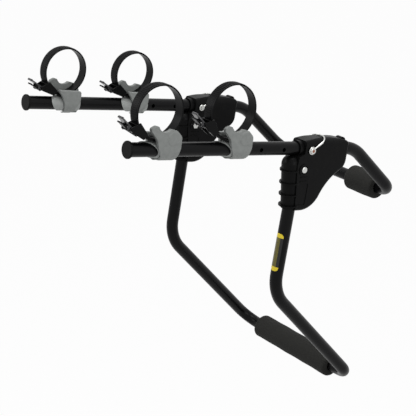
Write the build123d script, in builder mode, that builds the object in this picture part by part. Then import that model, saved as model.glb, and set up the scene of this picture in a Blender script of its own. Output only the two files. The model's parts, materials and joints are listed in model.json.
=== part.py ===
"""Bike rack that straps to a car's trunk: two bent tube frames, two hubs, two arms, four cradles.

Frame of the part: +Z up, +Y towards the car, +X the right side seen from behind the car.
The origin is the middle of the upper trunk pads' axis. Most sizes below are measured from
the pivot, the axis of the two bolts that the lower frame swings on.
"""
from build123d import *
from math import atan2, cos, degrees, pi, radians, sin, sqrt, tan
import os

os.makedirs("parts", exist_ok=True)

# ---- sizes shared by the whole rack (millimetres and degrees) ----
pad_reach = 313.3          # upper cross tube ahead of the pivot
pad_drop = 66.7            # upper cross tube below the pivot
arm_offset = 193.0         # middle plane of an arm, hub and frame leg from the middle of the rack
overrun = 2.0              # how far a cut runs past what it cuts
fit_gap = 0.05             # radial gap of a running fit
seat_gap = 0.3             # gap between pieces that only sit together

# ---- frame tubes ----
frame_diameter = 28.0
frame_wall = 1.6
lower_setback = 2.5        # axis of the upright legs behind the pivot
lower_top = 9.0            # cut end of the upright legs above the pivot
lower_elbow_drop = 284.0   # crossing of the two leg axes below the pivot
lower_pad_reach = 293.2
lower_pad_drop = 520.0
elbow_radius = 90.0
corner_radius = 45.0
upper_start = 46.0         # cut end of the upper frame inside the hub, ahead of the pivot
upper_bend_reach = 158.6
upper_bend_radius = 90.0

# ---- foam pads ----
pad_radius = 29.2
pad_end_round = 3.0
lower_pad_half = 131.0
upper_pad_inner = 59.0
upper_pad_outer = 147.0

# ---- support arms ----
arm_diameter = 28.6
arm_wall = 1.8
arm_height = 41.6          # arm axis above the pivot
arm_reach = 442.0          # outer end behind the pivot
arm_inner_end = 38.0       # inner end ahead of the pivot
arm_hole_radius = 4.5
arm_hole_places = (58.4, 120.7)
cap_radius = 17.4
cap_thick = 4.0
cap_plug = 14.0
cap_round = 1.5

# ---- hub bracket ----
bracket_thick = 3.0
bracket_gap = 0.2          # from the arm to each cheek
bracket_front_gap = 5.9    # from the bracket to the front of the hub's hollow
bracket_start = 2.0        # back end of the bracket's channel, ahead of the pivot
bracket_shoulder = 36.0    # its lower corner there, above the pivot
bracket_ear_top = 16.0     # straight back edge of the ear
bracket_skirt = 12.0       # reach of the cheeks below the arm axis
bracket_ear = 13.0         # radius of the ear round the pivot
bracket_bend = 12.0

# ---- hub shells ----
hub_half = 22.0
hub_wall = 4.1
hub_back = 4.0             # back of the domed top behind the pivot
hub_waist = 17.0           # back of the body under the arm
hub_waist_top = 27.0       # above the pivot
hub_shoulder = 34.0
hub_reach = 123.7
hub_top = 26.3             # highest point of the dome above the arm axis
hub_dome_radius = 300.0
hub_dome_ahead = 60.0      # that point ahead of the pivot
hub_round = 16.0           # rounding of the dome's sides
hub_edge = 8.0             # rounding of the long edges
hub_corner = 10.0
tail_height = 19.2         # start of the rounded underside above the pivot
tail_radius = 27.0
tail_turn = 59.3
belly_radius = 120.0
belly_turn = 35.8
toe_radius = 54.6
right_angle = 90.0
nose_radius = 20.0
nose_wall = 3.6
nose_top_back = 19.5       # nose axis at its top, behind the pivot
nose_top_height = 8.0
nose_foot_back = 3.2
nose_foot_drop = 88.0
nose_foot_radius = 17.8
nose_foot_wall = 2.4
rib_radius = 23.0
rib_thick = 2.6
rib_places = (5.0, 30.0, 56.0, 84.0)   # above the nose's foot
collar_radius = 17.4
collar_back = 15.0         # open end of the collar behind the pivot
mouth_radius = 15.9        # its wider mouth
mouth_depth = 7.0
lug_radius = 9.0
lug_half = 8.0
lug_ahead = 112.0
lug_rise = 17.0            # lug axis above the arm axis
boss_radius = 12.5
boss_rise = 1.5
boss_recess = 1.6          # sunk seat of the bolt's head and nut
boss_seat_radius = 9.6
slot_swing = 60.0          # swing of the lower frame towards the upper one
slot_ease = 2.0            # gap between the swung tube and the mouth of the slot
slot_lip = 10.7            # front edge of the slot's mouth behind the tail's centre
panel_back = 8.0           # shallow panel on each face
panel_front = 20.0
panel_top = 30.0
panel_foot = 78.0
panel_depth = 1.0
panel_corner = 4.0
bar_length = 22.0
bar_thick = 2.2
bar_rise = 1.4
bar_drops = (17.0, 26.0)
bar_ahead = 6.0

# ---- pivot bolts ----
bolt_radius = 4.0
bolt_head_radius = 6.9
bolt_head_thick = 4.2
nut_across = 13.0
nut_thick = 6.5
bolt_round = 1.6

# ---- lock pins and bails ----
pin_ahead = 12.4           # pin axis ahead of the pivot
pin_rise = 0.3             # pin axis above the arm axis
pin_radius = 4.0
pin_head_radius = 6.8
pin_head_thick = 2.6
pin_hole_ease = 0.5
bail_wire = 1.6            # radius of the wire
bail_reach = 49.0          # pin axis to the wire over the hub
bail_lean = 35.0           # bail above the level, towards the car
bail_bend = 22.0
bail_side_gap = 0.9
bail_eye_gap = 0.1
bail_ring_radius = 7.3     # the eye behind the pin's head
bail_wrap_radius = 2.2     # turns of the wire's end round the leg
bail_wrap_from = 17.0
bail_wrap_to = 31.0
pin_tip = 1.6              # pin end past the bail's eye

# ---- cradles ----
right_cradle_margin = 68.5  # outer cradle's middle from the arm's outer end
left_cradle_margin = 94.0
cradle_pitch = 180.0
cradle_half = 21.0
cradle_top = 44.0          # above the arm axis
cradle_reach = 43.0
outer_profile_shares = ((0.04, -0.5), (-0.28, 0.09), (-0.41, 0.52), (-0.9, 1.0), (-0.6, 1.16),
                        (0.6, 0.955), (0.93, 0.68), (0.94, 0.14), (0.77, -0.5))
outer_corner_shares = (0.1, 0.28, 0.5, 0.11, 0.16, 0.28, 0.32, 0.32, 0.14)
inner_profile_shares = ((-0.19, -0.5), (-0.3, 0.05), (-0.44, 0.41), (-0.81, 0.8), (-0.51, 0.72),
                        (0.62, 0.7), (0.63, 0.18), (0.24, -0.5))
inner_corner_shares = (0.1, 0.28, 0.23, 0.07, 0.28, 0.14, 0.19, 0.12)
saddle_radius = 18.0
saddle_back = 2.0
saddle_rise = 57.0
channel_half = 12.5
channel_floor = 22.2       # above the arm axis
cradle_mouth_radius = 18.8
cradle_mouth = 3.0         # the wide bore ends this far behind the middle
crease_width = 1.2
crease_depth = 0.9
crease_from_shares = (-0.56, 1.04)
crease_to_shares = (0.42, 0.56)
disc_radius = 14.0         # raised disc on the outer face
disc_rise = 1.0
disc_shares = (0.47, 0.6)
ring_radius = 9.0
sleeve_wall = 2.0
sleeve_back = 23.6         # its slanting end on the arm's axis
sleeve_back_most = 45.0
sleeve_slant = (-1.0, 1.0, 0.5)
sleeve_front = 30.0

# ---- straps ----
strap_radii = (54.0, 57.0, 50.5, 49.5)   # right outer and inner, left outer and inner
strap_thick = 3.0
strap_width = 23.0
strap_back = 14.0          # loop's centre behind the cradle's middle
strap_tail_angle = 214.0
strap_root_angle = 236.0
tooth_rise = 0.9
tooth_length = 1.5
tooth_width = 16.0
tooth_pitch_angle = 4.3
tooth_first_angle = 30.0
tooth_count = 40

# ---- ratchet buckles ----
buckle_turns = (0.0, -7.0, 7.0, 7.0)   # how far each buckle sits on round its strap
buckle_top_angle = 205.0
buckle_foot_angle = 240.0
tongue_angle = 266.0
floor_thick = 3.0
cheek_thick = 2.5
cheek_gap = 0.3            # from the strap's edge to a cheek
cheek_top_rise = 18.0      # cheek edge outside the strap at the top
cheek_foot_rise = 8.0
bridge_thick = 2.5
bridge_inset_angle = 3.0
axle_rise = 12.0           # lever axle outside the strap
axle_angle = 213.0
axle_radius = 2.0
lever_half = 11.3
lever_length = 35.5
lever_thick = 3.2
lever_barrel = 4.5
lever_tip = 2.4
lever_angles = (139.0, 139.0, 150.0, 150.0)
lever_taper_from = 21.0
lever_tip_half = 7.6
lever_tip_round = 4.0
ear_thick = 2.0
ear_reach = 9.2
tab_along = 9.0
tab_off = 6.2
tab_length = 21.0
tab_thick = 2.2
tab_barrel = 2.6
tab_trunnion = 1.5
tab_half = 6.6
tab_splay = 3.0
tab_tip = 1.7

# ---- places worked out from the sizes ----
arm_radius = arm_diameter / 2
frame_radius = frame_diameter / 2
bracket_inner = arm_radius + bracket_gap
bracket_half = bracket_inner + bracket_thick
shell_half = hub_half - hub_wall
pin_height = arm_height + pin_rise
bail_side = hub_half + bail_side_gap + bail_wire
front_inside = hub_reach - hub_wall - slot_ease
bracket_front = front_inside - bracket_front_gap
slot_depth = hub_reach + nose_foot_drop
toe_turn = right_angle - tail_turn + belly_turn
bolt_face = hub_half + boss_rise - boss_recess


def from_pivot(x, ahead, above):
    """A point of the rack, given ahead of and above the pivot."""
    return (x, ahead - pad_reach, above + pad_drop)


def side_plane(x):
    """Upright plane at x, with its own x towards the car and y up, from the pivot."""
    return Plane(origin=from_pivot(x, 0, 0), x_dir=(0, 1, 0), z_dir=(1, 0, 0))


def polar(radius, angle):
    """A point of a side plane at an angle from the direction of the car."""
    return (radius * cos(radians(angle)), radius * sin(radians(angle)))


def save(piece, name):
    """Labels a finished piece and writes its file."""
    piece.part.label = name
    export_step(piece.part, "parts/" + name + ".step")


# ================= frames =================

def bent_tube(points, radii, across):
    """One tube bent along a route of straight runs and arcs; across is the side plane's turn."""
    with BuildPart() as tube:
        with BuildLine() as route:
            FilletPolyline(*points, radius=radii)
        start = route.line @ 0
        along = route.line % 0
        with BuildSketch(Plane(origin=start, x_dir=across, z_dir=along)):
            Circle(frame_radius)
            Circle(frame_radius - frame_wall, mode=Mode.SUBTRACT)
        sweep(path=route.line)
    return tube


lower_points = [
    from_pivot(arm_offset, -lower_setback, lower_top),
    from_pivot(arm_offset, -lower_setback, -lower_elbow_drop),
    from_pivot(arm_offset, lower_pad_reach, -lower_pad_drop),
    from_pivot(-arm_offset, lower_pad_reach, -lower_pad_drop),
    from_pivot(-arm_offset, -lower_setback, -lower_elbow_drop),
    from_pivot(-arm_offset, -lower_setback, lower_top),
]
lower_radii = [elbow_radius, corner_radius, corner_radius, elbow_radius]
lower_bent = bent_tube(lower_points, lower_radii, (1, 0, 0))
with BuildPart() as lower_frame_tube:
    add(lower_bent.part)
    for side in (1, -1):
        with BuildSketch(side_plane(side * arm_offset)):
            Circle(bolt_radius + fit_gap)
        extrude(amount=frame_radius + overrun, both=True, mode=Mode.SUBTRACT)
save(lower_frame_tube, "lower_frame_tube")

upper_points = [
    from_pivot(arm_offset, upper_start, arm_height),
    from_pivot(arm_offset, upper_bend_reach, arm_height),
    from_pivot(arm_offset, pad_reach, -pad_drop),
    from_pivot(-arm_offset, pad_reach, -pad_drop),
    from_pivot(-arm_offset, upper_bend_reach, arm_height),
    from_pivot(-arm_offset, upper_start, arm_height),
]
upper_radii = [upper_bend_radius, corner_radius, corner_radius, upper_bend_radius]
upper_frame_tube = bent_tube(upper_points, upper_radii, (1, 0, 0))
save(upper_frame_tube, "upper_frame_tube")


def foam_sleeve(x_from, x_to, ahead, above):
    """A foam sleeve on a cross tube, with rounded ends."""
    with BuildPart() as sleeve:
        with BuildSketch(side_plane(x_from)):
            with Locations((ahead, above)):
                Circle(pad_radius)
                Circle(frame_radius + fit_gap, mode=Mode.SUBTRACT)
        extrude(amount=x_to - x_from)
        ends = sleeve.edges().filter_by(GeomType.CIRCLE)
        fillet(ends.filter_by(lambda e: e.radius > frame_radius + overrun), pad_end_round)
    return sleeve


lower_pad = foam_sleeve(-lower_pad_half, lower_pad_half, lower_pad_reach, -lower_pad_drop)
save(lower_pad, "lower_pad")
right_upper_pad = foam_sleeve(upper_pad_inner, upper_pad_outer, pad_reach, -pad_drop)
save(right_upper_pad, "right_upper_pad")
left_upper_pad = foam_sleeve(-upper_pad_outer, -upper_pad_inner, pad_reach, -pad_drop)
save(left_upper_pad, "left_upper_pad")


# ================= arms =================

def arm_plane(ahead):
    """Upright plane square to the right arm, facing the car, centred on the arm axis."""
    return Plane(origin=from_pivot(arm_offset, ahead, arm_height), x_dir=(-1, 0, 0), z_dir=(0, 1, 0))


def mirrored(piece):
    """The left hand piece of a right hand one."""
    with BuildPart() as left:
        mirror(piece.part, about=Plane.YZ)
    return left


with BuildPart() as right_support_arm:
    with BuildSketch(arm_plane(-arm_reach)):
        Circle(arm_radius)
        Circle(arm_radius - arm_wall, mode=Mode.SUBTRACT)
    extrude(amount=arm_reach + arm_inner_end)
    with BuildSketch(side_plane(arm_offset)):
        for place in arm_hole_places:
            with Locations((-place, arm_height)):
                Circle(arm_hole_radius)
        with Locations((pin_ahead, pin_height)):
            Circle(pin_radius + pin_hole_ease)
    extrude(amount=arm_radius + overrun, both=True, mode=Mode.SUBTRACT)
save(right_support_arm, "right_support_arm")
save(mirrored(right_support_arm), "left_support_arm")

with BuildPart() as right_arm_end_cap:
    with BuildSketch(arm_plane(-arm_reach - cap_thick)):
        Circle(cap_radius)
    extrude(amount=cap_thick)
    rim = right_arm_end_cap.faces().sort_by(Axis.Y)[0]
    fillet(rim.edges(), cap_round)
    with BuildSketch(arm_plane(-arm_reach)):
        Circle(arm_radius - arm_wall)
    extrude(amount=cap_plug)
save(right_arm_end_cap, "right_arm_end_cap")
save(mirrored(right_arm_end_cap), "left_arm_end_cap")


# ================= hub bracket =================

channel_top = arm_height + bracket_half
with BuildPart() as right_hub_bracket:
    with BuildSketch(side_plane(arm_offset)):
        with BuildLine():
            Polyline((bracket_start, channel_top), (bracket_front, channel_top),
                     (bracket_front, arm_height - bracket_skirt),
                     (bracket_ear + bracket_skirt, arm_height - bracket_skirt),
                     (bracket_ear, 0), (-bracket_ear, 0), (-bracket_ear, bracket_ear_top),
                     (bracket_start, bracket_shoulder), close=True)
        make_face()
        Circle(bracket_ear)
    extrude(amount=bracket_half, both=True)
    top_edges = right_hub_bracket.edges().filter_by(Axis.Y).group_by(Axis.Z)[-1]
    fillet(top_edges, bracket_bend)
    with BuildSketch(arm_plane(-slot_depth)) as pocket:
        with Locations((0, bracket_inner - slot_depth / 2)):
            Rectangle(bracket_inner + bracket_inner, slot_depth)
        fillet(pocket.vertices().group_by(Axis.Y)[-1], bracket_bend - bracket_thick)
    extrude(amount=slot_depth + slot_depth, mode=Mode.SUBTRACT)
    with BuildSketch(side_plane(arm_offset)):
        Circle(bolt_radius)
        with Locations((pin_ahead, pin_height)):
            Circle(pin_radius + fit_gap)
    extrude(amount=bracket_half + overrun, both=True, mode=Mode.SUBTRACT)
save(right_hub_bracket, "right_hub_bracket")
save(mirrored(right_hub_bracket), "left_hub_bracket")


# ================= hub shells =================

dome_centre = arm_height + hub_top - hub_dome_radius


def dome(ahead):
    """A point of the dome's top line, ahead of the pivot."""
    run = ahead - hub_dome_ahead
    return (ahead, dome_centre + sqrt(hub_dome_radius ** 2 - run ** 2))


nose_top = (-nose_top_back, nose_top_height)
nose_foot = (-nose_foot_back, -nose_foot_drop)
nose_drop = nose_foot_drop + nose_top_height
nose_lean = (nose_top_back - nose_foot_back) / nose_drop
nose_length = sqrt(nose_drop ** 2 + (nose_top_back - nose_foot_back) ** 2)


def nose_plane():
    """Plane square to the leaning nose, at its top end, facing down its axis."""
    origin = from_pivot(arm_offset, -nose_top_back, nose_top_height)
    down = (0, nose_top_back - nose_foot_back, -nose_drop)
    return Plane(origin=origin, x_dir=(1, 0, 0), z_dir=down)


with BuildPart() as hub_form:
    with BuildSketch(side_plane(arm_offset)) as hub_outline:
        with BuildLine():
            edge = Line((hub_reach, arm_height), (hub_reach, tail_height))
            tail = JernArc(edge @ 1, edge % 1, tail_radius, -tail_turn)
            belly = JernArc(tail @ 1, tail % 1, belly_radius, belly_turn)
            toe = JernArc(belly @ 1, belly % 1, toe_radius, -toe_turn)
            Polyline(toe @ 1, (-nose_foot_back, (toe @ 1).Y), nose_top,
                     (-hub_waist, hub_waist_top), (-hub_back, hub_shoulder), dome(-hub_back))
            ThreePointArc(dome(-hub_back), dome(hub_dome_ahead), dome(hub_reach))
            Line(dome(hub_reach), (hub_reach, arm_height))
        make_face()
        front_top = hub_outline.vertices().sort_by_distance(Vector(*dome(hub_reach)))[0]
        fillet(front_top, hub_corner)
    extrude(amount=hub_half, both=True)
    back_limit = from_pivot(0, -nose_foot_back + hub_edge / 2, 0)[1]
    face_edges = hub_form.faces().filter_by(Axis.X).edges()
    top_z = from_pivot(0, 0, arm_height + arm_radius)[2]
    long_edges = face_edges.filter_by(
        lambda e: (e.center().Z > top_z) or (e.center().Y > back_limit))
    fillet(long_edges, hub_edge)
    with BuildSketch(arm_plane(-slot_depth)) as section:
        with Locations((0, hub_top - slot_depth / 2)):
            Rectangle(hub_half + hub_half, slot_depth)
        fillet(section.vertices().group_by(Axis.Y)[-1], hub_round)
    extrude(amount=slot_depth + slot_depth, mode=Mode.INTERSECT)
    # the rounded nose that the lower frame's leg lies in, with its ribs
    with Locations(nose_plane()):
        Cone(nose_radius, nose_foot_radius, nose_length,
             align=(Align.CENTER, Align.CENTER, Align.MIN))
    with Locations(from_pivot(arm_offset, -nose_top_back, nose_top_height)):
        Sphere(nose_radius)
    for rib_place in rib_places:
        with BuildSketch(nose_plane().offset(nose_length - rib_place - rib_thick)):
            Circle(rib_radius)
        extrude(amount=rib_thick)
    # collar round the arm, lug over the tube's end, bosses and bars on both faces
    with BuildSketch(arm_plane(-collar_back)):
        Circle(collar_radius)
    extrude(amount=collar_back + bracket_start)
    with BuildSketch(side_plane(arm_offset)):
        with Locations((lug_ahead, arm_height + lug_rise)):
            Circle(lug_radius)
    extrude(amount=lug_half, both=True)
    with BuildSketch(side_plane(arm_offset)):
        Circle(boss_radius)
    extrude(amount=hub_half + boss_rise, both=True)
    for turn in (1, -1):
        face_plane = side_plane(arm_offset + turn * (hub_half - panel_depth))
        with BuildSketch(face_plane):
            with Locations(((panel_front - panel_back) / 2, -(panel_top + panel_foot) / 2)):
                RectangleRounded(panel_front + panel_back, panel_foot - panel_top, panel_corner)
        extrude(amount=turn * (panel_depth + overrun), mode=Mode.SUBTRACT)
        with BuildSketch(side_plane(arm_offset + turn * (hub_half - overrun))):
            for drop in bar_drops:
                with Locations((bar_ahead, -drop)):
                    SlotOverall(bar_length, bar_thick)
        extrude(amount=turn * (overrun + bar_rise))

slot_angle = slot_swing - degrees(pi / 2)
slot_side = frame_radius + slot_ease
slot_start = polar(slot_side, slot_swing)
slot_far = (slot_start[0] + slot_depth * cos(radians(slot_angle)),
            slot_start[1] + slot_depth * sin(radians(slot_angle)))
slot_near_reach = hub_reach - tail_radius - slot_lip
slot_near = (slot_near_reach,
             slot_start[1] + (slot_near_reach - slot_start[0]) * tan(radians(slot_angle)))
with BuildPart() as hub_cavity:
    with BuildSketch(side_plane(arm_offset)):
        with BuildLine():
            Polyline((bracket_start - seat_gap, channel_top + seat_gap),
                     (front_inside, channel_top + seat_gap),
                     (front_inside, tail_height),
                     (front_inside - tail_radius, 0),
                     slot_near, slot_far,
                     (slot_depth, -slot_depth),
                     (nose_foot[0] + (slot_depth - nose_foot_drop) * nose_lean, -slot_depth),
                     nose_foot, nose_top,
                     (-bracket_ear - seat_gap, nose_top_height + nose_radius / 2),
                     (bracket_start - seat_gap, bracket_shoulder + seat_gap), close=True)
        make_face()
    extrude(amount=shell_half, both=True)
    with BuildSketch(arm_plane(-slot_depth)) as inner_section:
        with Locations((0, bracket_half + seat_gap - slot_depth)):
            Rectangle(shell_half + shell_half, slot_depth + slot_depth)
        fillet(inner_section.vertices().group_by(Axis.Y)[-1], bracket_bend + seat_gap)
    extrude(amount=slot_depth + slot_depth, mode=Mode.INTERSECT)
with BuildPart() as hub_hollow:
    add(hub_form.part)
    add(hub_cavity.part, mode=Mode.SUBTRACT)
    with Locations(nose_plane()):
        Cone(nose_radius - nose_wall, nose_foot_radius - nose_foot_wall, nose_length,
             align=(Align.CENTER, Align.CENTER, Align.MIN), mode=Mode.SUBTRACT)
    with BuildSketch(nose_plane().offset(nose_length - overrun)):
        Circle(nose_foot_radius - nose_foot_wall)
    extrude(amount=overrun + nose_radius, mode=Mode.SUBTRACT)
    with Locations(from_pivot(arm_offset, -nose_top_back, nose_top_height)):
        Sphere(nose_radius - nose_wall, mode=Mode.SUBTRACT)
    with BuildSketch(arm_plane(-collar_back - overrun)):
        Circle(arm_radius + seat_gap)
    extrude(amount=collar_back + bracket_start + overrun + overrun, mode=Mode.SUBTRACT)
    with BuildSketch(arm_plane(-collar_back - nose_radius)):
        Circle(mouth_radius)
    extrude(amount=nose_radius + mouth_depth, mode=Mode.SUBTRACT)
    with BuildSketch(arm_plane(front_inside - overrun)):
        Circle(frame_radius + seat_gap)
    extrude(amount=hub_reach - front_inside + overrun + overrun, mode=Mode.SUBTRACT)
    with BuildSketch(side_plane(arm_offset)):
        Circle(bolt_radius + fit_gap)
        with Locations((pin_ahead, pin_height)):
            Circle(pin_radius + pin_hole_ease)
    extrude(amount=hub_half + boss_rise + overrun, both=True, mode=Mode.SUBTRACT)
    for turn in (1, -1):
        with BuildSketch(side_plane(arm_offset + turn * bolt_face)):
            Circle(boss_seat_radius)
        extrude(amount=turn * (boss_recess + overrun), mode=Mode.SUBTRACT)

# both shells have the same form, mirrored in the arm's middle plane
arm_middle = Plane.YZ.offset(arm_offset)
with BuildPart() as right_hub_inner_shell:
    add(hub_hollow.part)
    split(bisect_by=arm_middle, keep=Keep.BOTTOM)
with BuildPart() as right_hub_outer_shell:
    mirror(right_hub_inner_shell.part, about=arm_middle)
save(right_hub_outer_shell, "right_hub_outer_shell")
save(mirrored(right_hub_outer_shell), "left_hub_outer_shell")
save(right_hub_inner_shell, "right_hub_inner_shell")
save(mirrored(right_hub_inner_shell), "left_hub_inner_shell")


# ================= pivot bolts =================

with BuildPart() as right_bolt:
    with BuildSketch(side_plane(arm_offset - bolt_face - nut_thick)):
        Circle(bolt_radius)
    extrude(amount=bolt_face + bolt_face + nut_thick)
    with BuildSketch(side_plane(arm_offset + bolt_face)):
        Circle(bolt_head_radius)
    extrude(amount=bolt_head_thick)
    fillet(right_bolt.faces().sort_by(Axis.X)[-1].edges(), bolt_round)
with BuildPart() as pivot_bolts:
    add(right_bolt.part)
    mirror(right_bolt.part, about=Plane.YZ)
save(pivot_bolts, "pivot_bolts")

with BuildPart() as right_nut:
    with BuildSketch(side_plane(arm_offset - bolt_face - nut_thick)):
        RegularPolygon(nut_across / 2, 6, major_radius=False)
        Circle(bolt_radius, mode=Mode.SUBTRACT)
    extrude(amount=nut_thick)
with BuildPart() as pivot_nuts:
    add(right_nut.part)
    mirror(right_nut.part, about=Plane.YZ)
save(pivot_nuts, "pivot_nuts")


# ================= lock pins and bails =================

head_face = bail_side + bail_wire
with BuildPart() as right_lock_pin:
    with BuildSketch(side_plane(arm_offset - head_face - pin_tip)):
        with Locations((pin_ahead, pin_height)):
            Circle(pin_radius)
    extrude(amount=head_face + head_face + pin_tip)
    with BuildSketch(side_plane(arm_offset + head_face)):
        with Locations((pin_ahead, pin_height)):
            Circle(pin_head_radius)
    extrude(amount=pin_head_thick)
    fillet(right_lock_pin.faces().sort_by(Axis.X)[-1].edges(), pin_head_thick / 2)
save(right_lock_pin, "right_lock_pin")
save(mirrored(right_lock_pin), "left_lock_pin")


def on_bail(x, reach):
    """A point of the bail, reach away from the pin's axis in the bail's leaning plane."""
    out = polar(reach, bail_lean)
    return from_pivot(arm_offset + x, pin_ahead + out[0], pin_height + out[1])


eye_radius = pin_radius + bail_eye_gap + bail_wire
with BuildPart() as right_lock_bail:
    with BuildLine() as wire:
        FilletPolyline(on_bail(bail_side, bail_ring_radius), on_bail(bail_side, bail_reach),
                       on_bail(-bail_side, bail_reach), on_bail(-bail_side, eye_radius),
                       radius=bail_bend)
    with BuildSketch(Plane(origin=wire.line @ 0, x_dir=(1, 0, 0), z_dir=wire.line % 0)):
        Circle(bail_wire)
    sweep(path=wire.line)
    for side, radius in ((bail_side, bail_ring_radius), (-bail_side, eye_radius)):
        centre = from_pivot(arm_offset + side, pin_ahead, pin_height)
        with Locations(Plane(origin=centre, x_dir=(0, 1, 0), z_dir=(1, 0, 0))):
            Torus(radius, bail_wire)
    with BuildSketch(Plane(origin=on_bail(bail_side, bail_wrap_from), x_dir=(1, 0, 0),
                           z_dir=wire.line % 0)):
        Circle(bail_wrap_radius)
    extrude(amount=bail_wrap_to - bail_wrap_from)
save(right_lock_bail, "right_lock_bail")
save(mirrored(right_lock_bail), "left_lock_bail")


# ================= cradles, straps and buckles =================
# Each piece is made on the arm axis at the rack's middle and put at its place on an arm.

cradle_side = Plane.YZ
right_places = (arm_reach - right_cradle_margin, arm_reach - right_cradle_margin - cradle_pitch)
left_places = (arm_reach - left_cradle_margin, arm_reach - left_cradle_margin - cradle_pitch)
places = {
    "right_outer": from_pivot(arm_offset, -right_places[0], arm_height),
    "right_inner": from_pivot(arm_offset, -right_places[1], arm_height),
    "left_outer": from_pivot(-arm_offset, -left_places[0], arm_height),
    "left_inner": from_pivot(-arm_offset, -left_places[1], arm_height),
}


def save_at(master, place_name, name):
    """Writes a piece at one of the four places, mirrored on the left arm."""
    piece = mirrored(master) if place_name.startswith("left") else master
    with BuildPart() as placed:
        with Locations(places[place_name]):
            add(piece.part)
    save(placed, place_name + "_" + name)


def cross_plane(ahead):
    """Plane square to the arm at a cradle, facing the car."""
    return Plane(origin=(0, ahead, 0), x_dir=(-1, 0, 0), z_dir=(0, 1, 0))


def cradle_outline(shares, corners):
    """The side view of one half of the cradle, its corners rounded."""
    points = [(a * cradle_reach, b * cradle_top) for a, b in shares]
    with BuildSketch() as outline:
        with BuildLine():
            Polyline(*points, close=True)
        make_face()
        for point, corner in zip(points, corners):
            near = outline.vertices().sort_by_distance(Vector(*point))[0]
            fillet(near, corner * cradle_reach)
    return outline.sketch


outer_outline = cradle_outline(outer_profile_shares, outer_corner_shares)
inner_outline = cradle_outline(inner_profile_shares, inner_corner_shares)
with BuildPart() as cradle:
    with BuildSketch(cradle_side):
        add(outer_outline)
        with Locations((-saddle_back, saddle_rise)):
            Circle(saddle_radius, mode=Mode.SUBTRACT)
    extrude(amount=cradle_half)
    with BuildSketch(cradle_side):
        add(inner_outline)
    extrude(amount=-cradle_half)
    with BuildSketch(cross_plane(-cradle_reach)):
        Circle(cradle_half)
        with Locations((0, cradle_reach)):
            Rectangle(cradle_half + cradle_half, cradle_reach + cradle_reach)
    extrude(amount=cradle_reach + cradle_reach, mode=Mode.INTERSECT)
    # raised disc with a ring groove on the outer face
    disc_place = (disc_shares[0] * cradle_reach, disc_shares[1] * cradle_top)
    with BuildSketch(cradle_side.offset(cradle_half - overrun)):
        with Locations(disc_place):
            Circle(disc_radius)
    extrude(amount=overrun + disc_rise)
    with BuildSketch(cradle_side.offset(cradle_half)):
        with Locations(disc_place):
            Circle(ring_radius + crease_width)
            Circle(ring_radius, mode=Mode.SUBTRACT)
    extrude(amount=overrun, mode=Mode.SUBTRACT)
    bore_radius = arm_radius + sleeve_wall + seat_gap
    with BuildSketch(cross_plane(-cradle_reach - overrun)):
        Circle(bore_radius)
    extrude(amount=cradle_reach + cradle_reach + overrun + overrun, mode=Mode.SUBTRACT)
    with BuildSketch(cross_plane(-cradle_reach - overrun)):
        Circle(cradle_mouth_radius)
    extrude(amount=cradle_reach + overrun - cradle_mouth, mode=Mode.SUBTRACT)
    with BuildSketch(cross_plane(-cradle_reach - overrun)):
        with Locations((0, channel_floor + cradle_top / 2)):
            Rectangle(channel_half + channel_half, cradle_top)
    extrude(amount=cradle_reach + cradle_reach + overrun + overrun, mode=Mode.SUBTRACT)
    with BuildSketch(cross_plane(-cradle_reach - overrun)):
        with Locations((0, cradle_top / 2)):
            Rectangle(channel_half + channel_half, cradle_top)
    extrude(amount=cradle_reach + overrun - cradle_mouth, mode=Mode.SUBTRACT)
    crease_from = (crease_from_shares[0] * cradle_reach, crease_from_shares[1] * cradle_top)
    crease_to = (crease_to_shares[0] * cradle_reach, crease_to_shares[1] * cradle_top)
    crease_middle = ((crease_from[0] + crease_to[0]) / 2, (crease_from[1] + crease_to[1]) / 2)
    crease_run = Vector(crease_to[0] - crease_from[0], crease_to[1] - crease_from[1])
    crease_angle = degrees(atan2(crease_run.Y, crease_run.X))
    with BuildSketch(cradle_side.offset(cradle_half - crease_depth)):
        with Locations(Location((*crease_middle, 0), (0, 0, crease_angle))):
            SlotOverall(crease_run.length, crease_width)
    extrude(amount=crease_depth + disc_rise + overrun, mode=Mode.SUBTRACT)

with BuildPart() as sleeve:
    with BuildSketch(cross_plane(-sleeve_back_most)):
        Circle(arm_radius + sleeve_wall)
        Circle(arm_radius + fit_gap, mode=Mode.SUBTRACT)
    extrude(amount=sleeve_back_most + sleeve_front)
    slant = Plane(origin=(0, -sleeve_back, 0), z_dir=sleeve_slant)
    split(bisect_by=slant, keep=Keep.TOP)

for place_name in places:
    save_at(cradle, place_name, "cradle")
    save_at(sleeve, place_name, "sleeve")


def ring_sector(outer, inner, angle_from, angle_to):
    """A sketch of a piece of ring, between two angles of less than a half turn."""
    with BuildSketch() as sector:
        with BuildLine():
            middle = (angle_from + angle_to) / 2
            ThreePointArc(polar(outer, angle_from), polar(outer, middle), polar(outer, angle_to))
            Line(polar(outer, angle_to), polar(inner, angle_to))
            ThreePointArc(polar(inner, angle_to), polar(inner, middle), polar(inner, angle_from))
            Line(polar(inner, angle_from), polar(outer, angle_from))
        make_face()
    return sector.sketch


def loop_side(radius):
    """Side plane centred on a strap loop that lies on the cradle's channel floor."""
    rise = channel_floor + seat_gap + sqrt(radius ** 2 - (strap_back - cradle_mouth) ** 2)
    return Plane(origin=(0, -strap_back, rise), x_dir=(0, 1, 0), z_dir=(1, 0, 0))


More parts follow.
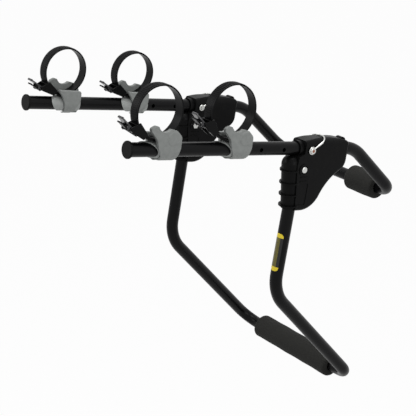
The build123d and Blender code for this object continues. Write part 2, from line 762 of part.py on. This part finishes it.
def make_strap(radius, turn):
    """A toothed strap loop, open inside its buckle."""
    gap_reach = radius + radius
    with BuildSketch() as gap_wedge:
        with BuildLine():
            Polyline((0, 0), polar(gap_reach, strap_tail_angle + turn),
                     polar(gap_reach, strap_root_angle + turn), close=True)
        make_face()
    with BuildPart() as strap:
        with BuildSketch(loop_side(radius)):
            Circle(radius)
            Circle(radius - strap_thick, mode=Mode.SUBTRACT)
            add(gap_wedge.sketch, mode=Mode.SUBTRACT)
        extrude(amount=strap_width / 2, both=True)
        with BuildSketch(loop_side(radius)):
            for number in range(tooth_count):
                angle = tooth_first_angle + turn + number * tooth_pitch_angle
                with Locations(Location((*polar(radius, angle), 0), (0, 0, angle))):
                    Rectangle(tooth_rise + tooth_rise, tooth_length)
        extrude(amount=tooth_width / 2, both=True)
    return strap


cheek_inner_x = strap_width / 2 + cheek_gap
cheek_outer_x = cheek_inner_x + cheek_thick


def make_buckle_base(radius, turn):
    """The buckle's floor, tongue, bridge and two cheeks."""
    top_angle = buckle_top_angle + turn
    foot_angle = buckle_foot_angle + turn
    floor_inner = radius + seat_gap
    floor_outer = floor_inner + floor_thick
    bridge_outer = radius - strap_thick - seat_gap
    low = bridge_outer - bridge_thick
    floor_sector = ring_sector(floor_outer, floor_inner, top_angle, foot_angle)
    tongue_sector = ring_sector(floor_outer, floor_inner, top_angle, tongue_angle + turn)
    bridge_sector = ring_sector(bridge_outer, low, top_angle + bridge_inset_angle,
                                foot_angle - bridge_inset_angle)
    with BuildPart() as base:
        with BuildSketch(loop_side(radius)):
            add(floor_sector)
        extrude(amount=cheek_inner_x + cheek_gap, both=True)
        with BuildSketch(loop_side(radius)):
            add(tongue_sector)
        extrude(amount=strap_width / 2, both=True)
        with BuildSketch(loop_side(radius)):
            add(bridge_sector)
        extrude(amount=cheek_inner_x + cheek_gap, both=True)
        for side in (1, -1):
            with BuildSketch(loop_side(radius).offset(side * cheek_inner_x)):
                with BuildLine():
                    Polyline(polar(low, top_angle),
                             polar(radius + cheek_top_rise, top_angle),
                             polar(radius + cheek_top_rise, axle_angle + turn),
                             polar(radius + cheek_foot_rise, foot_angle),
                             polar(low, foot_angle), close=True)
                make_face()
                with Locations(polar(radius + axle_rise, axle_angle + turn)):
                    Circle(axle_radius, mode=Mode.SUBTRACT)
            extrude(amount=side * cheek_thick)
    return base


def make_axle(radius, turn):
    """The lever's axle, through both cheeks."""
    with BuildPart() as axle:
        with BuildSketch(loop_side(radius)):
            with Locations(polar(radius + axle_rise, axle_angle + turn)):
                Circle(axle_radius)
        extrude(amount=cheek_outer_x, both=True)
    return axle


def lever_plane(x, radius, turn, lever_angle):
    """Side plane at a lever, with its own x along the lever from its axle."""
    axle_centre = polar(radius + axle_rise, axle_angle + turn)
    loop = loop_side(radius).origin
    along = polar(1, lever_angle)
    return Plane(origin=(x, loop.Y + axle_centre[0], loop.Z + axle_centre[1]),
                 x_dir=(0, along[0], along[1]), z_dir=(1, 0, 0))


def make_lever(radius, turn, lever_angle):
    """A lever with a barrel on its axle, a tapered blade and two ears for the tab."""
    lever_end = lever_length + lever_tip
    barrel_out = lever_barrel + overrun
    middle = lever_plane(0, radius, turn, lever_angle)
    with BuildPart() as lever:
        with BuildSketch(middle):
            with Locations((lever_length / 2, 0)):
                Rectangle(lever_length, lever_thick)
            with Locations((lever_length, 0)):
                Circle(lever_tip)
            Circle(lever_barrel)
        extrude(amount=lever_half, both=True)
        with BuildSketch(Plane(origin=middle.origin, x_dir=middle.x_dir, z_dir=middle.y_dir)) as plan:
            with BuildLine():
                Polyline((-barrel_out, lever_half), (lever_taper_from, lever_half),
                         (lever_end, lever_tip_half), (lever_end, -lever_tip_half),
                         (lever_taper_from, -lever_half), (-barrel_out, -lever_half), close=True)
            make_face()
            fillet(plan.vertices().group_by(Axis.X)[-1], lever_tip_round)
        extrude(amount=lever_length, both=True, mode=Mode.INTERSECT)
        for side in (1, -1):
            with BuildSketch(middle.offset(side * (lever_half - ear_thick))):
                with BuildLine():
                    Polyline((0, 0), (tab_along + ear_reach, 0),
                             (tab_along + tab_barrel, ear_reach),
                             (tab_along - tab_barrel, ear_reach), close=True)
                make_face()
            extrude(amount=side * ear_thick)
        with BuildSketch(middle.offset(-lever_half - overrun)):
            Circle(axle_radius + fit_gap)
            with Locations((tab_along, tab_off)):
                Circle(tab_trunnion + fit_gap)
        extrude(amount=lever_half + lever_half + overrun + overrun, mode=Mode.SUBTRACT)
    return lever


def make_tab(radius, turn, lever_angle):
    """The release tab that turns between the lever's ears."""
    tab_end = polar(tab_length, tab_splay)
    with BuildPart() as tab:
        with BuildSketch(lever_plane(0, radius, turn, lever_angle)):
            with Locations((tab_along, tab_off)):
                Circle(tab_barrel)
            with Locations(Location((tab_along + tab_end[0] / 2, tab_off + tab_end[1] / 2, 0),
                                    (0, 0, tab_splay))):
                Rectangle(tab_length, tab_thick)
            with Locations((tab_along + tab_end[0], tab_off + tab_end[1])):
                Circle(tab_tip)
        extrude(amount=tab_half, both=True)
        with BuildSketch(lever_plane(0, radius, turn, lever_angle)):
            with Locations((tab_along, tab_off)):
                Circle(tab_trunnion)
        extrude(amount=lever_half - seat_gap, both=True)
    return tab


with BuildPart() as buckle_axles:
    for place, radius, turn in zip(places.values(), strap_radii, buckle_turns):
        axle = make_axle(radius, turn)
        with Locations(place):
            add(axle.part)
save(buckle_axles, "buckle_axles")

for place_name, radius, turn, angle in zip(places, strap_radii, buckle_turns, lever_angles):
    save_at(make_strap(radius, turn), place_name, "strap")
    save_at(make_buckle_base(radius, turn), place_name, "buckle_base")
    save_at(make_lever(radius, turn, angle), place_name, "buckle_lever")
    save_at(make_tab(radius, turn, angle), place_name, "release_tab")
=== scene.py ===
"""Looks of a trunk mounted bike rack.

Finishes, softened moulded edges, three foam sleeves, a leg label, floor, light and camera.
Metres, +Z up, +Y towards the car, +X the rack's right side. The origin is the middle of the
upper foam sleeves' axis.
"""

import json
from math import radians

import bpy
import numpy as np
from mathutils import Matrix, Vector


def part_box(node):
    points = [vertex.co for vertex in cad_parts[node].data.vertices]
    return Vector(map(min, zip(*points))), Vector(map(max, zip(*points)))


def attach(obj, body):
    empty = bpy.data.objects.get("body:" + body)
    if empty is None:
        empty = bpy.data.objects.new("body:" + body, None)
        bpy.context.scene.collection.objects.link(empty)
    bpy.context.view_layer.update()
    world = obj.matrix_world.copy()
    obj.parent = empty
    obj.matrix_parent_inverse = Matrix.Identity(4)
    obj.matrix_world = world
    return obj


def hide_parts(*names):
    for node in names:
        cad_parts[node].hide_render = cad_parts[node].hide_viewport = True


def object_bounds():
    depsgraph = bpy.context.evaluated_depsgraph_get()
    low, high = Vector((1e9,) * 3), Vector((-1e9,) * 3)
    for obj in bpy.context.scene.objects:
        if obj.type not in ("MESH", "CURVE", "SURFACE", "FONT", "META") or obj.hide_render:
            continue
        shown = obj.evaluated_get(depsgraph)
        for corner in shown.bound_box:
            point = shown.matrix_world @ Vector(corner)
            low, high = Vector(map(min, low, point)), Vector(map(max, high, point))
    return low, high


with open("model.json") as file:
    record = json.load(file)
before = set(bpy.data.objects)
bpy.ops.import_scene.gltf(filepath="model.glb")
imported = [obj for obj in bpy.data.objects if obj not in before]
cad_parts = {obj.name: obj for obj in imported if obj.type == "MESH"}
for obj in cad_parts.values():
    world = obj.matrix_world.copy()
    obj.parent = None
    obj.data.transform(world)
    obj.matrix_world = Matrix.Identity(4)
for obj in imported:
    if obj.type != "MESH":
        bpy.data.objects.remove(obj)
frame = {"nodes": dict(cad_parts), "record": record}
cad_box = [list(corner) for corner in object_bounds()]
nodes = frame["nodes"]
MM = 0.001


# ---------- helpers ----------

def linear(colour):
    """The linear red, green and blue of an sRGB hex colour, with full alpha."""
    parts = [int(colour[i:i + 2], 16) / 255 for i in (1, 3, 5)]
    return [p / 12.92 if p <= 0.04045 else ((p + 0.055) / 1.055) ** 2.4 for p in parts] + [1.0]


def add_node(tree, kind, settings=None, inputs=None):
    """Adds one node with its settings, and sets or links its inputs."""
    made = tree.nodes.new(kind)
    for name, value in (settings or {}).items():
        setattr(made, name, value)
    for name, value in (inputs or {}).items():
        if isinstance(value, bpy.types.NodeSocket):
            tree.links.new(value, made.inputs[name])
        else:
            made.inputs[name].default_value = value
    return made


def new_finish(name, roughness, specular=0.5, metallic=0.0, coat=0.0, sheen=0.0):
    """A material with its shader, and the piece's own coordinates in metres."""
    material = bpy.data.materials.new(name)
    material.use_nodes = True
    tree = material.node_tree
    shader = tree.nodes["Principled BSDF"]
    shader.inputs["Roughness"].default_value = roughness
    shader.inputs["Specular IOR Level"].default_value = specular
    shader.inputs["Metallic"].default_value = metallic
    shader.inputs["Coat Weight"].default_value = coat
    shader.inputs["Sheen Weight"].default_value = sheen
    place = add_node(tree, "ShaderNodeTexCoord").outputs["Object"]
    return material, tree, shader, place


def mottle(tree, shader, place, dark, light, size, detail=3.0):
    """Colour that wanders between two hex colours in patches of the given size."""
    noise = add_node(tree, "ShaderNodeTexNoise", inputs={
        "Vector": place, "Scale": 1 / size, "Detail": detail, "Roughness": 0.6})
    mix = add_node(tree, "ShaderNodeMix", {"data_type": "RGBA"}, {
        "Factor": noise.outputs["Fac"], "A": linear(dark), "B": linear(light)})
    tree.links.new(mix.outputs["Result"], shader.inputs["Base Color"])


def grain(tree, shader, place, size, depth):
    """A bump of fine grain, with its size and depth in metres."""
    noise = add_node(tree, "ShaderNodeTexNoise", inputs={
        "Vector": place, "Scale": 1 / size, "Detail": 2.0, "Roughness": 0.5})
    bump = add_node(tree, "ShaderNodeBump", inputs={
        "Height": noise.outputs["Fac"], "Distance": depth, "Strength": 1.0})
    tree.links.new(bump.outputs["Normal"], shader.inputs["Normal"])


def uneven_gloss(tree, shader, place, low, high, size):
    """Roughness that wanders between two values in patches of the given size."""
    noise = add_node(tree, "ShaderNodeTexNoise", inputs={"Vector": place, "Scale": 1 / size})
    spread = add_node(tree, "ShaderNodeMapRange", inputs={
        "Value": noise.outputs["Fac"], "To Min": low, "To Max": high})
    tree.links.new(spread.outputs["Result"], shader.inputs["Roughness"])


# ---------- finishes ----------

def powder_coat():
    """Satin black powder coat on steel tube: a slight orange peel breaks up long highlights."""
    material, tree, shader, place = new_finish("satin_black_powder_coat", 0.3, 0.11)
    mottle(tree, shader, place, "#060607", "#0b0b0c", 30 * MM)
    grain(tree, shader, place, 2.2 * MM, 0.05 * MM)
    uneven_gloss(tree, shader, place, 0.28, 0.36, 12 * MM)
    return material


def closed_cell_foam():
    """Closed cell rubber foam: dull charcoal skin with open pores, drawn a bit coarse to show."""
    pore, pore_depth, pore_strength = 1.3 * MM, 0.25 * MM, 0.6
    material, tree, shader, place = new_finish("closed_cell_foam", 0.92, 0.06, sheen=0.04)
    mottle(tree, shader, place, "#222221", "#363634", 1.6 * MM, detail=2.0)
    cells = add_node(tree, "ShaderNodeTexVoronoi", inputs={"Vector": place, "Scale": 1 / pore})
    bump = add_node(tree, "ShaderNodeBump", inputs={
        "Height": cells.outputs["Distance"], "Distance": pore_depth, "Strength": pore_strength})
    tree.links.new(bump.outputs["Normal"], shader.inputs["Normal"])
    return material


def moulded(name, roughness, specular, dark, light, patch, grain_size, grain_depth, coat=0.0):
    """A moulded plastic or rubber: two hex colours in patches, and a fine bump.

    The patches' size and the bump's size and depth are in millimetres.
    """
    material, tree, shader, place = new_finish(name, roughness, specular, coat=coat)
    mottle(tree, shader, place, dark, light, patch * MM)
    grain(tree, shader, place, grain_size * MM, grain_depth * MM)
    return material


def zinc_plate():
    """Bright zinc plate on steel: pale grey metal with soft cloudy patches."""
    material, tree, shader, place = new_finish("bright_zinc_plate", 0.26, metallic=1.0)
    mottle(tree, shader, place, "#b4b6b4", "#dcdcd8", 2.5 * MM)
    uneven_gloss(tree, shader, place, 0.2, 0.34, 2 * MM)
    return material


def copper_centre(centre):
    """Zinc plate with a copper coloured rivet end round the pin's axis, which runs along X."""
    rivet_edge, rivet_full = 3.6 * MM, 3.1 * MM
    material = zinc_plate()
    material.name = "zinc_plate_with_copper_rivet"
    tree = material.node_tree
    shader = tree.nodes["Principled BSDF"]
    before = shader.inputs["Base Color"].links[0].from_socket
    place = add_node(tree, "ShaderNodeTexCoord").outputs["Object"]
    flat = add_node(tree, "ShaderNodeVectorMath", {"operation": "MULTIPLY"})
    tree.links.new(place, flat.inputs[0])
    flat.inputs[1].default_value = (0, 1, 1)
    apart = add_node(tree, "ShaderNodeVectorMath", {"operation": "DISTANCE"})
    tree.links.new(flat.outputs[0], apart.inputs[0])
    apart.inputs[1].default_value = (0, centre[1], centre[2])
    near = add_node(tree, "ShaderNodeMapRange", inputs={
        "Value": apart.outputs["Value"], "From Min": rivet_edge, "From Max": rivet_full})
    mix = add_node(tree, "ShaderNodeMix", {"data_type": "RGBA"}, {
        "Factor": near.outputs["Result"], "A": before, "B": linear("#8f5a47")})
    tree.links.new(mix.outputs["Result"], shader.inputs["Base Color"])
    return material


coat = powder_coat()
foam = closed_cell_foam()
# glass filled nylon from a spark eroded tool: near black with a fine even grain
nylon = moulded("moulded_black_nylon", 0.36, 0.06, "#0a0a0b", "#121212", 14, 0.9, 0.05)
# the tube caps' polyethylene: black, slightly waxy
cap = moulded("black_polyethylene", 0.4, 0.07, "#0b0b0b", "#131313", 6, 1.2, 0.04)
zinc = zinc_plate()
# the cradles' mid grey, dull thermoplastic rubber, and the liners' softer, paler rubber
rubber = moulded("grey_thermoplastic_rubber", 0.55, 0.35, "#787b79", "#939694", 9, 1.5, 0.08)
liner = moulded("pale_grey_rubber", 0.66, 0.35, "#979a98", "#a5a8a6", 6, 1.5, 0.06)
# cast urethane: black with a waxy gloss
urethane = moulded("black_urethane", 0.32, 0.07, "#070708", "#0e0e0f", 8, 1.8, 0.04)
# the buckles' smooth black acetal, and the levers' with a clear gloss, polished by fingers
acetal = moulded("black_acetal", 0.26, 0.08, "#070707", "#0e0e0f", 5, 1.2, 0.03)
# the levers' dark grey, lighter than the buckles' black, is painted reflection standing in for
# their gloss
lever_finish = moulded("polished_acetal_painted_reflection", 0.22, 0.4, "#1b1b1d", "#28282b", 5, 3, 0.03,
                       coat=0.2)

finish_of_slot = {
    "black_powder_coat": coat, "charcoal_foam": foam, "black_cap_plastic": cap,
    "black_hub_plastic": nylon, "bright_zinc_steel": zinc, "grey_cradle_rubber": rubber,
    "grey_sleeve_rubber": liner, "black_strap_plastic": urethane,
    "black_buckle_plastic": acetal, "grey_lever_plastic": lever_finish,
}


def paint(piece, material):
    """Gives a piece one material."""
    piece.data.materials.clear()
    piece.data.materials.append(material)


for entry in frame["record"]["subparts"]:
    paint(nodes[entry["node"]], finish_of_slot[entry["material_slot"]])

pin_low, pin_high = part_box("right_lock_pin")
paint(nodes["right_lock_pin"], copper_centre((pin_low + pin_high) / 2))


# ---------- softened edges ----------

def moulded_edges(node, cell, passes):
    """Rounds a moulded piece: joins its triangles, remakes the skin in small cells, smooths it."""
    join_within, pull = 0.01 * MM, 0.5
    node.modifiers.new("join", "WELD").merge_threshold = join_within
    skin = node.modifiers.new("skin", "REMESH")
    skin.mode, skin.voxel_size, skin.use_smooth_shade = "VOXEL", cell, True
    soften = node.modifiers.new("soften", "SMOOTH")
    soften.factor, soften.iterations = pull, passes


cradle_cell, cradle_passes = 0.75 * MM, 6
buckle_cell, buckle_passes = 0.45 * MM, 3
for name, node in nodes.items():
    if name.endswith("_cradle"):
        moulded_edges(node, cradle_cell, cradle_passes)
    elif name.endswith(("_buckle_base", "_buckle_lever", "_release_tab")):
        moulded_edges(node, buckle_cell, buckle_passes)


# ---------- new pieces ----------

def surface(name, grid, material, across=False):
    """A mesh from a grid of points, rows by columns; across joins each row's ends up."""
    rows, columns = grid.shape[:2]
    steps = np.arange(rows - 1), np.arange(columns if across else columns - 1)
    i, j = [m.ravel() for m in np.meshgrid(*steps, indexing="ij")]
    i2, j2 = i + 1, (j + 1) % columns
    faces = np.stack([i * columns + j, i2 * columns + j, i2 * columns + j2, i * columns + j2], 1)
    mesh = bpy.data.meshes.new(name)
    mesh.from_pydata(grid.reshape(-1, 3).tolist(), [], faces.tolist())
    mesh.shade_smooth()
    piece = bpy.data.objects.new(name, mesh)
    bpy.context.scene.collection.objects.link(piece)
    paint(piece, material)
    return piece


def foam_sleeve(name, node, bore):
    """A foam sleeve on a cross tube, in place of its plain solid.

    The profile runs from the bore over a rounded shoulder, along the outside and back in at
    the other end. Each point turns about the tube's axis. The outside swells and dips by a
    small sum of waves along the length and round the axis, as pressed foam does.
    """
    low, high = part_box(node)
    axis_y, axis_z = (low.y + high.y) / 2, (low.z + high.z) / 2
    radius = (high.z - low.z) / 2
    shoulder = 6 * MM
    # at each end the face is dished: how deep the bore's rim and the point outside it sit
    rim_depth, face_depth, face_step = 1.5 * MM, 0.4 * MM, 2 * MM
    shoulder_points, length_points, round_points = 9, 64, 96
    turn = np.linspace(0, np.pi / 2, shoulder_points)
    length = np.linspace(low.x + shoulder, high.x - shoulder, length_points)
    x = np.concatenate([[low.x + rim_depth, low.x + face_depth],
                        low.x + shoulder - shoulder * np.cos(turn), length[1:-1],
                        high.x - shoulder + shoulder * np.sin(turn),
                        [high.x - face_depth, high.x - rim_depth]])
    r = np.concatenate([[bore, bore + face_step], radius - shoulder + shoulder * np.sin(turn),
                        np.full(len(length) - 2, radius),
                        radius - shoulder + shoulder * np.cos(turn), [bore + face_step, bore]])
    around = np.linspace(0, 2 * np.pi, round_points, endpoint=False)
    swell = 0.25 * MM
    long_wave, short_wave, twisted_wave = 41, 97, 23   # radians per metre of length
    along = x[:, None]
    wave = (np.sin(along * long_wave + 2 * np.cos(around))
            + np.sin(along * short_wave + around * 3)
            + np.sin(around * 2 + along * twisted_wave))
    full = (r[:, None] - swell * (wave + 1) * (r[:, None] > radius - shoulder / 2))
    grid = np.stack([np.broadcast_to(along, full.shape), axis_y + full * np.cos(around),
                     axis_z + full * np.sin(around)], 2)
    piece = surface(name, grid[::-1], foam, across=True)
    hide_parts(node)
    return piece


tube_radius = 14.0 * MM
for name, node, body in (("lower_foam_sleeve", "lower_pad", "lower_frame"),
                         ("right_upper_foam_sleeve", "right_upper_pad", "rack"),
                         ("left_upper_foam_sleeve", "left_upper_pad", "rack")):
    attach(foam_sleeve(name, node, tube_radius), body)


def printed_vinyl():
    """Glossy vinyl label: black ground, yellow end bands, a dull olive strip between them.

    The label's UV runs from -1 to 1 both ways, X across the label and Y along it.
    """
    band_from, strip_to, blot_size = 0.775, 0.47, 5 * MM
    material, tree, shader, place = new_finish("printed_vinyl_label", 0.3, 0.4)
    uv = add_node(tree, "ShaderNodeUVMap", {"uv_map": "label"}).outputs["UV"]
    parts = add_node(tree, "ShaderNodeSeparateXYZ", inputs={"Vector": uv})
    off_middle = add_node(tree, "ShaderNodeMath", {"operation": "ABSOLUTE"})
    tree.links.new(parts.outputs["X"], off_middle.inputs[0])
    from_middle = add_node(tree, "ShaderNodeMath", {"operation": "ABSOLUTE"})
    tree.links.new(parts.outputs["Y"], from_middle.inputs[0])
    in_band = add_node(tree, "ShaderNodeMath", {"operation": "GREATER_THAN"})
    tree.links.new(from_middle.outputs[0], in_band.inputs[0])
    in_band.inputs[1].default_value = band_from
    in_strip = add_node(tree, "ShaderNodeMath", {"operation": "LESS_THAN"})
    tree.links.new(off_middle.outputs[0], in_strip.inputs[0])
    in_strip.inputs[1].default_value = strip_to
    blots = add_node(tree, "ShaderNodeTexNoise", inputs={
        "Vector": place, "Scale": 1 / blot_size, "Detail": 1.0})
    olive = add_node(tree, "ShaderNodeMix", {"data_type": "RGBA"}, {
        "Factor": blots.outputs["Fac"], "A": linear("#2f2c10"), "B": linear("#7b7220")})
    ground = add_node(tree, "ShaderNodeMix", {"data_type": "RGBA"}, {
        "Factor": in_strip.outputs[0], "A": linear("#0d0d0e"), "B": olive.outputs["Result"]})
    whole = add_node(tree, "ShaderNodeMix", {"data_type": "RGBA"}, {
        "Factor": in_band.outputs[0], "A": ground.outputs["Result"], "B": linear("#e3cb2c")})
    tree.links.new(whole.outputs["Result"], shader.inputs["Base Color"])
    return material


def leg_label():
    """A thin label wrapped on the right leg below the hub, on the side away from the car.

    Each row is an arc about the leg's axis, 0.1 mm proud of the tube. The arc's half angle
    follows a quarter circle near both ends, so the label's corners are round.
    """
    middle_x, middle_y = 193.0 * MM, -315.8 * MM
    top, foot, corner, proud = -80.4 * MM, -164.8 * MM, 8 * MM, 0.1 * MM
    widest = radians(50)
    corner_rows, straight_rows, columns = 12, 30, 33
    z = np.concatenate([np.linspace(top, top - corner, corner_rows),
                        np.linspace(top - corner, foot + corner, straight_rows)[1:-1],
                        np.linspace(foot + corner, foot, corner_rows)])
    short = np.clip(corner - np.minimum(top - z, z - foot), 0, corner)
    radius = tube_radius + proud
    half = widest - (corner - np.sqrt(corner ** 2 - short ** 2)) / radius
    angle = half[:, None] * np.linspace(-1, 1, columns)
    grid = np.stack([middle_x + radius * np.sin(angle), middle_y - radius * np.cos(angle),
                     np.broadcast_to(z[:, None], angle.shape)], 2)
    piece = surface("leg_label", grid[::-1], printed_vinyl())
    upward = (z - (top + foot) / 2) / ((top - foot) / 2)
    flat = np.stack([angle / widest, np.broadcast_to(upward[:, None], angle.shape)], 2)
    flat = flat[::-1].reshape(-1, 2)
    corners = np.zeros(len(piece.data.loops), np.int32)
    piece.data.loops.foreach_get("vertex_index", corners)
    layer = piece.data.uv_layers.new(name="label")
    layer.data.foreach_set("uv", flat[corners].astype(np.float32).ravel())
    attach(piece, "lower_frame")


leg_label()


# ---------- floor, light and camera ----------

reach, drop = 40.0, 1.0
floor_height = cad_box[0][2] - drop
floor_mesh = bpy.data.meshes.new("floor")
floor_mesh.from_pydata([(-reach, -reach, floor_height), (reach, -reach, floor_height),
                        (reach, reach, floor_height), (-reach, reach, floor_height)],
                       [], [(0, 1, 2, 3)])
floor = bpy.data.objects.new("floor", floor_mesh)
bpy.context.scene.collection.objects.link(floor)


def seen_directly(tree):
    """1 on rays from the camera, from a mirror or through glass, else 0."""
    path = add_node(tree, "ShaderNodeLightPath")
    first = add_node(tree, "ShaderNodeMath", {"operation": "MAXIMUM"})
    tree.links.new(path.outputs["Is Camera Ray"], first.inputs[0])
    tree.links.new(path.outputs["Is Glossy Ray"], first.inputs[1])
    both = add_node(tree, "ShaderNodeMath", {"operation": "MAXIMUM"})
    tree.links.new(first.outputs[0], both.inputs[0])
    tree.links.new(path.outputs["Is Transmission Ray"], both.inputs[1])
    return both.outputs[0]


def white_floor():
    """White paper floor that glows where it is seen directly, so only a faint shadow is left."""
    glow_share = 0.96
    material = bpy.data.materials.new("white_paper_floor")
    material.use_nodes = True
    tree = material.node_tree
    tree.nodes.remove(tree.nodes["Principled BSDF"])
    paper = add_node(tree, "ShaderNodeBsdfDiffuse", inputs={"Color": linear("#f2f2f2")})
    glow = add_node(tree, "ShaderNodeEmission", inputs={"Color": (1, 1, 1, 1), "Strength": 1.0})
    share = add_node(tree, "ShaderNodeMath", {"operation": "MULTIPLY"})
    tree.links.new(seen_directly(tree), share.inputs[0])
    share.inputs[1].default_value = glow_share
    mix = add_node(tree, "ShaderNodeMixShader")
    tree.links.new(share.outputs[0], mix.inputs[0])
    tree.links.new(paper.outputs[0], mix.inputs[1])
    tree.links.new(glow.outputs[0], mix.inputs[2])
    tree.links.new(mix.outputs[0], tree.nodes["Material Output"].inputs["Surface"])
    return material


floor.data.materials.append(white_floor())

sky_light, sky_seen = 0.45, 1.0
world = bpy.data.worlds.new("white_studio")
bpy.context.scene.world = world
world.use_nodes = True
tree = world.node_tree
back = tree.nodes["Background"]
level = add_node(tree, "ShaderNodeMapRange", inputs={
    "Value": seen_directly(tree), "To Min": sky_light, "To Max": sky_seen})
tree.links.new(level.outputs["Result"], back.inputs["Strength"])
back.inputs["Color"].default_value = (1, 1, 1, 1)


def soft_box(name, place, aim, width, height, power):
    """A rectangular area lamp at a place, facing a point."""
    lamp = bpy.data.lights.new(name, "AREA")
    lamp.shape = "RECTANGLE"
    lamp.size, lamp.size_y, lamp.energy = width, height, power
    holder = bpy.data.objects.new(name, lamp)
    holder.location = place
    holder.rotation_mode = "QUATERNION"
    holder.rotation_quaternion = (Vector(aim) - Vector(place)).to_track_quat("-Z", "Y")
    bpy.context.scene.collection.objects.link(holder)


middle = (0, -0.25, -0.1)
soft_box("top_box", (0.2, -0.6, 2.2), middle, 1.6, 1.6, 30)
soft_box("left_box", (-1.2, -2.6, 0.9), middle, 1.2, 1.2, 22)
soft_box("right_box", (2.6, -0.2, 0.8), middle, 1.0, 1.4, 16)

# the photograph's camera, fitted to the part: its place, and its own three directions
camera_data = bpy.data.cameras.new("camera")
camera_data.lens, camera_data.sensor_width = 104.43, 36.0
camera = bpy.data.objects.new("camera", camera_data)
camera_place = (1.9938, -2.0577, 0.6048)
right = Vector((0.60499792, 0.78074942, 0.15623018))
up = Vector((-0.29609326, 0.03846585, 0.95438418))
away = Vector((0.73912536, -0.62365914, 0.2544464))
camera.matrix_world = Matrix.Translation(camera_place) @ Matrix(
    (right, up, away)).transposed().to_4x4()
bpy.context.scene.collection.objects.link(camera)
bpy.context.scene.camera = camera

bpy.context.scene.view_settings.view_transform = "Standard"
